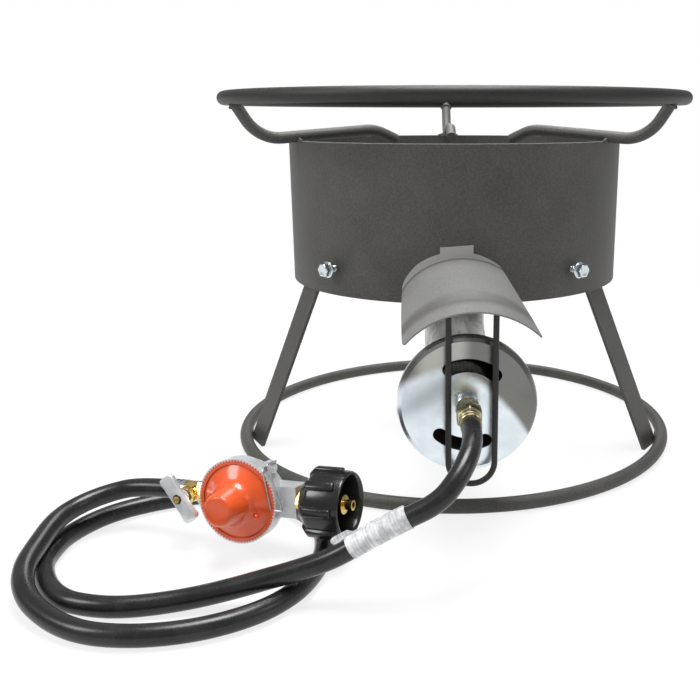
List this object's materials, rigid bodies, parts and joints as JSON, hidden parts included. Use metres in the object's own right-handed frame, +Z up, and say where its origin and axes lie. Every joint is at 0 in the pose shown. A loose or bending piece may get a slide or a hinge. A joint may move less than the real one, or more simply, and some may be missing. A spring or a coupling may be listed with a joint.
{
  "type": "banjo burner stand",
  "caption": "Round outdoor gas burner stand of bent rod with pot supports, wind guard, cast burner with a turning air shutter, and a hose with regulator, needle valve and handwheel connector.",
  "frame": {"origin": "on the floor, on the axis of the two rings", "axes": "+Z up, -Y towards the air shutter"},
  "size_m": [0.5553, 0.6419, 0.3485],
  "materials": {
    "stand_paint": "satin heat-proof paint",
    "zinc_plate": "bright zinc plate",
    "spring_steel": "drawn wire",
    "burner_cast": "silvery sand casting",
    "brass": "machined brass",
    "hose_rubber": "smooth black rubber",
    "sleeve_film": "blank milky film",
    "zinc_casting": "bare die casting",
    "orange_paint": "glossy orange paint",
    "black_plastic": "moulded black plastic"
  },
  "bodies": {
    "stand": {"top_ring": "stand_paint", "base_ring": "stand_paint", "pot_support_left": "stand_paint", "pot_support_right": "stand_paint", "pot_support_back": "stand_paint", "wind_guard": "stand_paint", "leg_left": "stand_paint", "leg_right": "stand_paint", "leg_back": "stand_paint", "heat_shield": "stand_paint", "hose_guard": "stand_paint", "burner_strap": "stand_paint", "guard_bolts": "zinc_plate", "guard_nuts": "zinc_plate", "burner_bolt": "zinc_plate", "burner_ferrule": "zinc_plate", "valve_ferrule": "zinc_plate", "shutter_spring": "spring_steel", "regulator_spring": "spring_steel", "burner_casting": "burner_cast", "orifice_fitting": "brass", "swivel_nut": "brass", "valve_body": "brass", "packing_nut": "brass", "inlet_jet": "brass", "inlet_nipple": "brass", "hose": "hose_rubber", "diaphragm": "hose_rubber", "hose_sleeve": "sleeve_film", "regulator_body": "zinc_casting", "adjuster": "zinc_casting", "regulator_cover": "orange_paint"},
    "shutter": {"air_shutter": "zinc_plate"},
    "stem": {"valve_stem": "brass"},
    "handle": {"t_handle": "zinc_casting", "handle_screw": "brass"},
    "wheel": {"handwheel": "black_plastic"},
    "loop": {"wire_loop": "spring_steel"},
    "plate": {"diaphragm_plate": "zinc_casting", "seat_pad": "hose_rubber"}
  },
  "joints": [
    {"name": "shutter_turn", "type": "hinge", "parent": "stand", "child": "shutter", "pos_m": [0, -0.2403, 0.1035], "axis": [0, -1, 0], "continuous": true},
    {"name": "stem_lift", "type": "slide", "parent": "stand", "child": "stem", "axis": [-0.3471, -0.9287, 0.1303], "range_m": [0, 0.002]},
    {"name": "handle_turn", "type": "hinge", "parent": "stem", "child": "handle", "pos_m": [-0.22299, -0.27131, 0.04114], "axis": [-0.3471, -0.9287, 0.1303], "range_deg": [0, 720]},
    {"name": "wheel_spin", "type": "hinge", "parent": "stand", "child": "wheel", "pos_m": [-0.10994, -0.29157, 0.04445], "axis": [0.9378, -0.3432, 0.0523], "continuous": true},
    {"name": "loop_swing", "type": "hinge", "parent": "stand", "child": "loop", "pos_m": [-0.15344, -0.28259, 0.06928], "axis": [-0.3471, -0.9287, 0.1303], "range_deg": [0, 15]},
    {"name": "plate_slide", "type": "slide", "parent": "stand", "child": "plate", "axis": [-0.3471, -0.9287, 0.1303], "range_m": [-0.0015, 0]}
  ],
  "couplings": [
    {"joint": "stem_lift", "follows": "handle_turn", "m_per_rad": 0.00015915}
  ]
}
